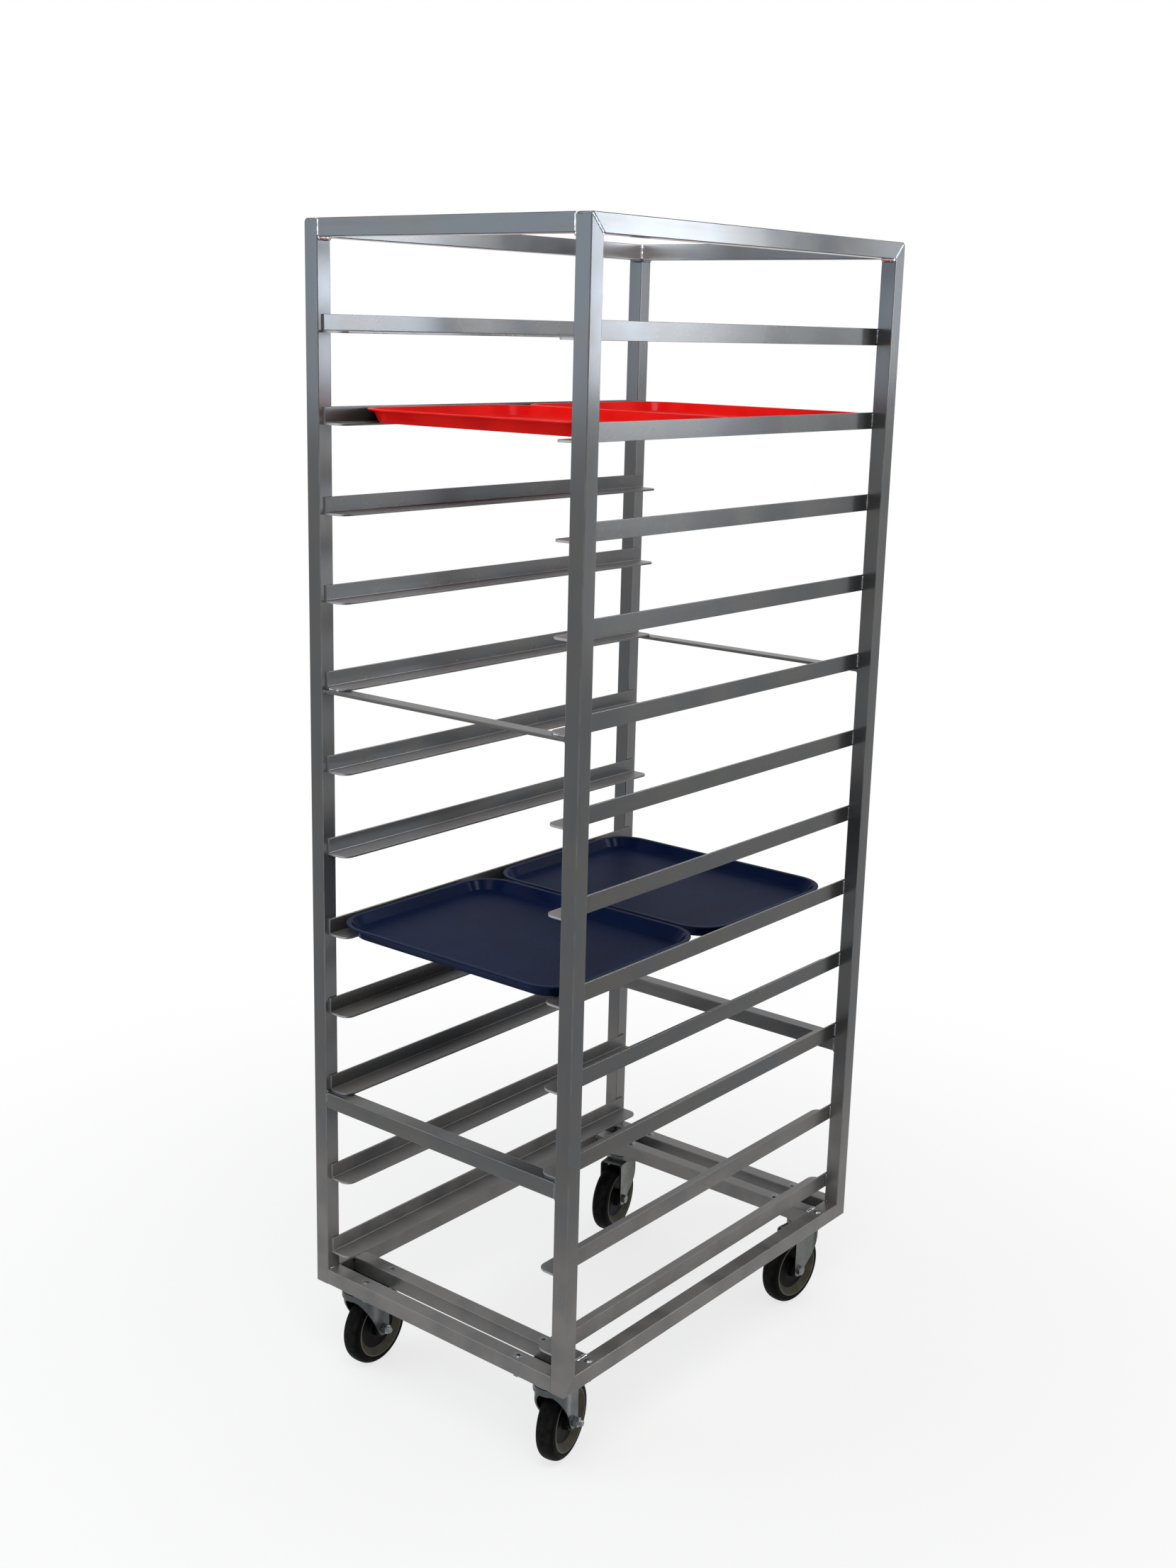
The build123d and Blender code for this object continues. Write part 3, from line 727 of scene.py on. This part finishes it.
def mitre_beads(sx, sy):
    """Beads of one post's mitres: on the top one's outer side and its edge, and in both inside corners."""
    side = sx * OUT_X
    seams.flush((side, sy * (OUT_Y - MITRE_IN), TOP - MITRE_IN), (side, sy * IN_Y, TOP - TUBE), (sx, 0, 0),
                MITRE_HALF)
    edge = (sy * (OUT_Y - EDGE_IN), TOP - EDGE_IN)
    seams.run((sx * (IN_X + EDGE_SHORT), *edge), (sx * (OUT_X - EDGE_SHORT), *edge), (0, sy, 1),
              EDGE_HALF, EDGE_HIGH)
    for z, dz, reach in ((TOP, -1, TUBE - TOP_SHORT), (BOTTOM, 1, BOTTOM_REACH)):
        spot = (sy * IN_Y, z + dz * TUBE)
        full = dz < 0 and not sx < 0 < sy
        beads, radius = (highlit_beads, FULL_NOOK) if full else (seams, THIN_NOOK)
        beads.nook((sx * (IN_X + SHORT), *spot), (sx * (IN_X + reach), *spot), (0, -sy, dz), radius)


def cross_rail_beads(node):
    """Beads round both ends of a rail between the posts: on its two sides, then below and above."""
    lo, hi = mm_box(node)
    inner, outer, high = "inner" in node, "outer" in node, "top" in node
    beads = highlit_beads if high else seams
    corner_beads, radius = (highlit_beads, FULL_NOOK) if node == "top_front_rail" else (seams, RAIL_NOOK)
    for sx in SIGNS:
        x = sx * IN_X
        groove = x - sx * GROOVE_IN
        for y, sy in ((lo.y, -1), (hi.y, 1)):
            inwards = sy * (lo.y + hi.y) < 0
            if inner or outer:
                if inner or inwards:
                    seams.nook((x, y, hi.z - SIDE_REACH), (x, y, hi.z - TIGHT), (-sx, sy, 0), SIDE_NOOK)
            elif high and inwards:
                beads.nook((x, y, lo.z + SHORT), (x, y, hi.z - TIGHT), (-sx, sy, 0), HIGH_NOOK)
            else:
                beads.flush((groove, y, lo.z + SHORT), (groove, y, hi.z - SHORT), (0, sy, 0), GROOVE_HALF)
        for z, sz in ((lo.z, -1), (hi.z, 1)):
            if inner and sz > 0:
                seam = z - SEAM_SINK
                highlit_beads.run((x, lo.y + SHORT, seam), (x, hi.y - SHORT, seam), (0, 0, 1), SEAM_HALF, SEAM_HIGH)
            elif inner or (high and sz > 0):
                beads.flush((groove, lo.y + SHORT, z), (groove, hi.y - SHORT, z), (0, 0, sz), GROOVE_HALF)
            elif not outer:
                corner_beads.nook((x, lo.y + NOOK_SHORT, z), (x, hi.y - SHORT, z), (-sx, 0, sz), radius)
            elif sz > 0:
                highlit_beads.nook((x, lo.y + OUTER_FROM, z), (x, lo.y + OUTER_TO, z), (-sx, 0, 1), THIN_NOOK)


# The fourth set of beads takes the paler weld metal, a painted highlight
seams, highlit_beads, ground, tacks = Beads(), Beads(), Beads(), Beads()
for sx in SIGNS:
    for sy in SIGNS:
        mitre_beads(sx, sy)
for node in CROSS_RAILS:
    cross_rail_beads(node)
for end in ENDS:
    lo, hi = mm_box(f"{end}_flat_bar")
    for sx in SIGNS:
        x = sx * IN_X
        seams.nook((x, lo.y + BAR_SHORT, lo.z), (x, hi.y - BAR_SHORT, lo.z), (-sx, 0, -1), BAR_NOOK)
for end, sy in zip(ENDS, SIGNS):
    lo, hi = mm_box(f"bottom_{end}_outer_rail")
    for sx in SIGNS:
        spot = (sx * IN_X, sy * OUT_Y)
        ground.flush((*spot, lo.z + TIGHT), (*spot, hi.z - TIGHT), (0, sy, 0), GROUND_HALF)
for node in RUNNERS:
    lo, hi = mm_box(node)
    for sx in SIGNS:
        for sy in SIGNS:
            spot = (sx * IN_X, sy * IN_Y)
            tacks.nook((*spot, lo.z + BAR_SHORT), (*spot, lo.z + RISE - NOOK_SHORT), (sx, -sy, 0), TACK_NOOK)
lo, hi = mm_box("runner_pair_05")      # the flat bars lie under its ends
for sx in SIGNS:
    for y, sy in ((lo.y, -1), (hi.y, 1)):
        highlit_beads.nook((sx * (IN_X - TIP_FROM), y, lo.z), (sx * (IN_X - TIP_TO), y, lo.z), (0, sy, 1), THIN_NOOK)
seams.build("corner_welds", WELD)
ground.build("ground_welds", GROUND_METAL)
tacks.build("runner_welds", WELD)
highlit_beads.build("welds_painted_highlight", WELD_PAINTED_HIGHLIGHT)


# Trays: one profile carried round a rounded rectangle

TRAY_CORNER, TRAY_LEAST_R, TRAY_ANGLE = 60.0, 6.0, 40.0
TRAY_STEPS, RIM_STEPS, RIM_LENGTHS = 6, 12, 6      # of the profile's arcs, the rim's corners and its sides
TRAY_PROFILE = [(40.0, 0.5), (20.0, 0.5), (18.5, 0.0), (17.0, 0.0), (8.4, 17.2), (0.0, 17.4), (0.0, 20.0),
                (7.0, 19.8), (18.4, 2.8), (60.0, 2.8)]      # inset from the rim, height above the underside
TRAY_ROUND = [0.8, 0.8, 2.2, 1.6, 1.1, 1.15, 1.4, 7.0]


def tray(node, mat, slot):
    lo, hi = mm_box(node)
    width, depth = hi.x - lo.x, hi.y - lo.y
    rings = []
    for inset, z in rounded(TRAY_PROFILE, TRAY_ROUND, TRAY_STEPS):
        ring = rounded_rectangle(width - 2 * inset, depth - 2 * inset, max(TRAY_CORNER - inset, TRAY_LEAST_R),
                                 RIM_STEPS, RIM_LENGTHS)
        rings.append([(x * MM, y * MM, z * MM) for x, y in ring])
    verts, faces = loops(rings)
    matrix = Matrix.Translation(Vector(((lo.x + hi.x) / 2, (lo.y + hi.y) / 2, lo.z)) * MM)
    obj = piece(f"{node}_moulding", verts, faces, mat, node, slot, matrix, TRAY_ANGLE, flat=True)
    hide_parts(node)


for colour, mat in (("red", RED), ("blue", BLUE)):
    for end in ENDS:
        tray(f"{colour}_{end}_tray", mat, f"{colour}_tray")


# Wheels: (r, z) profiles of the half on one side, in millimetres

RIM_R, BORE_R, HUB_HALF, WEB_HALF, TYRE_HALF = 49.0, 4.8, 18.3, 7.0, 15.0
WHEEL_SIDES, WHEEL_ANGLE, CORE_STEPS = 96, 40.0, 4
ON_PLANE = 1e-6                    # points up to here lie on the mirror plane
BORE, HUB = [(BORE_R, 0.0), (BORE_R, HUB_HALF)], [(15.0, HUB_HALF), (16.0, WEB_HALF)]
CONE, LIP_RING = [(37.0, WEB_HALF), (46.0, 14.6)], [(46.9, 14.6), (47.2, 15.3), (48.7, 15.3), (RIM_R, 14.8)]
SHOULDER, TREAD = arc(52.07, 5.0, 10.0, 90.0, 9.93, 10), arc(23.5, 0.0, 39.0, 8.0, 0.0, 4)
TYRE_PROFILE = [(RIM_R, 0.0), (RIM_R, TYRE_HALF - 0.5), (RIM_R + 0.5, TYRE_HALF)] + SHOULDER + TREAD
CORE_ROUND = [0.8, 1.2, 2.5, 2.0, 1.0, 0.2, 0.3, 0.3, 0.1]
CORE_PROFILE = rounded(BORE + HUB + CONE + LIP_RING + [(RIM_R, 0.0)], CORE_ROUND, CORE_STEPS)


def turned(name, node, half_profile, mat, body, slot, matrix):
    """Closed ring over a CAD node, turned from a profile and its mirror image."""
    profile = half_profile + [(r, -z) for r, z in reversed(half_profile) if z > ON_PLANE]
    rings = lathe(profile, WHEEL_SIDES)
    verts, faces = loops(rings + [rings[0]], False, False)
    n = len(rings) * WHEEL_SIDES
    faces = [tuple(i % n for i in f) for f in faces]
    obj = piece(name, verts[:n], faces, mat, body, slot, matrix, WHEEL_ANGLE)
    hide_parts(node)


for corner in CORNERS:
    body, matrix = f"{corner}_wheel", wheel_axis(corner)
    turned(f"{corner}_tyre_tread", f"{corner}_tyre", TYRE_PROFILE, RUBBER, body, "tyre", matrix)
    turned(f"{corner}_wheel_body", f"{corner}_wheel_core", CORE_PROFILE, CORE, body, "wheel_core", matrix)


# Axle bolts and nuts, in millimetres along the axle

FORK_HALF, AXLE_R, FLATS, HEAD_H = 21.5, 4.75, 14.3, 6.0
NUT_FROM, NUT_TO, THREAD_BACK, THREAD_OUT = FORK_HALF + 0.1, FORK_HALF + 8.0, 1.0, 6.5
HEX_SIDES, SHANK_SIDES = 48, 40
CHAMFER_R, CHAMFER_DROP = 0.96, 0.55          # of half the width over flats, and of the width cut away
THREAD_PITCH, THREAD_DEPTH = 1.25, 0.45
TIP_LONG, TIP_EDGE, TIP_START, TIP_END = 1.0, 0.9, 0.2, 1.0      # a bolt's tip: lengths, then cuts in radius


def hexagon(low, high):
    """Hexagon along local Z with both ends chamfered."""
    flat, sixth = FLATS / 2, math.pi / 3
    end_r = CHAMFER_R * flat
    rings = [[], [], [], []]
    for i in range(HEX_SIDES):
        a = 2 * math.pi * i / HEX_SIDES
        reach = flat / math.cos((a + sixth / 2) % sixth - sixth / 2)
        drop = (reach - end_r) * CHAMFER_DROP
        for ring, r, z in zip(rings, (end_r, reach, reach, end_r), (low, low + drop, high - drop, high)):
            ring.append((r * MM * math.cos(a), r * MM * math.sin(a), z * MM))
    return loops(rings)


def thread(low, high):
    """Profile of a threaded end, with ridges one pitch apart and a pointed tip."""
    count = int((high - low - TIP_LONG) / THREAD_PITCH)
    ridges = [(AXLE_R - THREAD_DEPTH * (k % 2), low + THREAD_PITCH * k / 2) for k in range(2 * count + 1)]
    return ridges + [(AXLE_R - TIP_START, high - TIP_EDGE), (AXLE_R - TIP_END, high)]


for corner in CORNERS:
    body, matrix = f"{corner}_caster", wheel_axis(corner)
    bolt = Mesh()
    bolt.add(*hexagon(-FORK_HALF - HEAD_H, -FORK_HALF))
    shank = [(AXLE_R, -FORK_HALF)] + thread(NUT_TO - THREAD_BACK, NUT_TO + THREAD_OUT)
    bolt.add(*loops(lathe(shank, SHANK_SIDES)))
    obj = piece(f"{corner}_axle_hex_bolt", bolt.verts, bolt.faces, BOLT_ZINC, body, "zinc_steel", matrix)
    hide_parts(f"{corner}_axle_bolt")
    obj = piece(f"{corner}_axle_hex_nut", *hexagon(NUT_FROM, NUT_TO), BRIGHT_ZINC, body, "zinc_steel", matrix)
    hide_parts(f"{corner}_axle_nut")


# Materials of the CAD nodes that stay

def paint(node, mat):
    obj = frame["nodes"][node]
    if not obj.material_slots:
        obj.data.materials.append(mat)
    for s in obj.material_slots:
        s.material = mat


PAINT = {"caster_plates": PLATE_ZINC, "swivel_races": ZINC, "kingpins": PLATE_ZINC, "caster_bolts": BOLT_ZINC,
         "caster_nuts": ZINC}
PAINT.update({f"{corner}_fork": FORK_ZINC[corner] for corner in CORNERS})
for node, mat in PAINT.items():
    paint(node, mat)


# Floor, light and camera

WHITE, PALE, PALER = (1.0, 1.0, 1.0, 1.0), (0.94, 0.94, 0.945), (0.97, 0.97, 0.97)
SKY_FILL, FLOOR_FILL = 0.62, 0.45
SHADOW_SPAN, SHADOW_SHARE = (0.5, 1.9), 0.28             # distance from the middle, metres
FLOOR_Z, FLOOR_RADII, FLOOR_SIDES = -0.0002, (0.4, 1.0, 2.0, 6.0, 60.0), 64


def white_level(m, fill):
    """1 for camera, glossy and transmission rays, and fill for the rays that light the object."""
    path = m.add("ShaderNodeLightPath").outputs
    seen = path["Is Camera Ray"]
    for name in ("Is Glossy Ray", "Is Transmission Ray"):
        seen = m.most(seen, path[name])
    return m.span(seen, 0.0, 1.0, fill, 1.0)


def floor_material():
    """Pale floor that keeps the soft shadow near the object and runs out to white."""
    mat = bpy.data.materials.new("pale_floor")
    mat.use_nodes = True
    m = Nodes(mat.node_tree)
    m.tree.nodes.clear()
    here = m.coords()
    near = m.span(m.length(m.xyz(here)[:2]), *SHADOW_SPAN, SHADOW_SHARE, 0.0)
    tint = m.mix(m.noise(here, 40.0, detail=2.0), PALE, PALER)
    diffuse = m.add("ShaderNodeBsdfDiffuse", Color=tint)
    white = m.add("ShaderNodeEmission", Strength=white_level(m, FLOOR_FILL))
    blend = m.add("ShaderNodeMixShader")
    for target, value in zip(blend.inputs, (near, white.outputs[0], diffuse.outputs[0])):
        m.put(target, value)
    m.add("ShaderNodeOutputMaterial", Surface=blend.outputs[0])
    return mat


verts, faces = loops([circle(r, FLOOR_Z, FLOOR_SIDES) for r in FLOOR_RADII], cap_end=False)
mesh = bpy.data.meshes.new("floor")
mesh.from_pydata(verts, [], flipped(faces))
mesh.materials.append(floor_material())
floor = bpy.data.objects.new("floor", mesh)
bpy.context.scene.collection.objects.link(floor)

world = bpy.data.worlds.new("studio")
bpy.context.scene.world = world
world.use_nodes = True
sky = Nodes(world.node_tree)
background = world.node_tree.nodes["Background"].inputs
sky.put(background["Color"], WHITE)
sky.put(background["Strength"], white_level(sky, SKY_FILL))


def softbox(name, spot, target, width, height, power, colour, card=False):
    """Area lamp; a card shows only in reflections."""
    lamp = bpy.data.lights.new(name, "AREA")
    lamp.shape, lamp.size, lamp.size_y = "RECTANGLE", width, height
    lamp.energy, lamp.color = power, colour
    obj = bpy.data.objects.new(name, lamp)
    bpy.context.scene.collection.objects.link(obj)
    obj.location = spot
    obj.rotation_euler = (Vector(target) - Vector(spot)).to_track_quat("-Z", "Y").to_euler()
    obj.visible_camera = False
    obj.visible_diffuse = not card


KEY_TINT, LEFT_TINT, CEILING_TINT = (1.0, 0.985, 0.96), (0.70, 0.85, 1.0), (1.0, 0.98, 0.95)
NEAR_TINT, WINDOW_TINT = (0.86, 0.92, 1.0), (0.90, 0.95, 1.0)
# Name, place, aim, width and height in metres, power in watts, tint
softbox("key", (1.5, -1.9, 3.6), (0.0, 0.0, 0.9), 1.6, 1.6, 42.0, KEY_TINT)
softbox("left_card", (-1.60, -2.45, 2.05), (0.0, 0.0, 1.75), 1.7, 1.3, 17.5, LEFT_TINT)
softbox("ceiling", (0.5, -0.4, 4.2), (0.2, -0.1, 0.0), 0.7, 0.7, 46.0, CEILING_TINT, card=True)
softbox("high_window", (1.95, 0.15, 2.95), (-0.2, -0.1, 0.8), 0.5, 0.5, 22.0, WINDOW_TINT, card=True)
softbox("near_window", (1.5, 1.405, 2.0), (0.0, 1.405, 2.0), 0.71, 1.0, 34.0, NEAR_TINT, card=True)
softbox("far_window", (1.5, 2.57, 2.0), (0.0, 2.57, 2.0), 0.22, 1.0, 6.0, WINDOW_TINT, card=True)
softbox("sill", (1.5, 1.405, 1.15), (0.0, 1.405, 1.15), 0.71, 0.6, 1.6, WINDOW_TINT, card=True)

EYE, EYE_TURN = (1.72440, -2.18401, 1.63961), (76.026, -1.4024, 39.1736)      # metres and degrees
camera = bpy.data.cameras.new("camera")
camera.sensor_fit, camera.sensor_height, camera.lens = "VERTICAL", 36.0, 41.987
camera.clip_start, camera.clip_end = 0.05, 200.0
eye = bpy.data.objects.new("camera", camera)
bpy.context.scene.collection.objects.link(eye)
eye.location = EYE
eye.rotation_euler = [math.radians(v) for v in EYE_TURN]
bpy.context.scene.camera = eye
bpy.context.scene.view_settings.view_transform = "Standard"
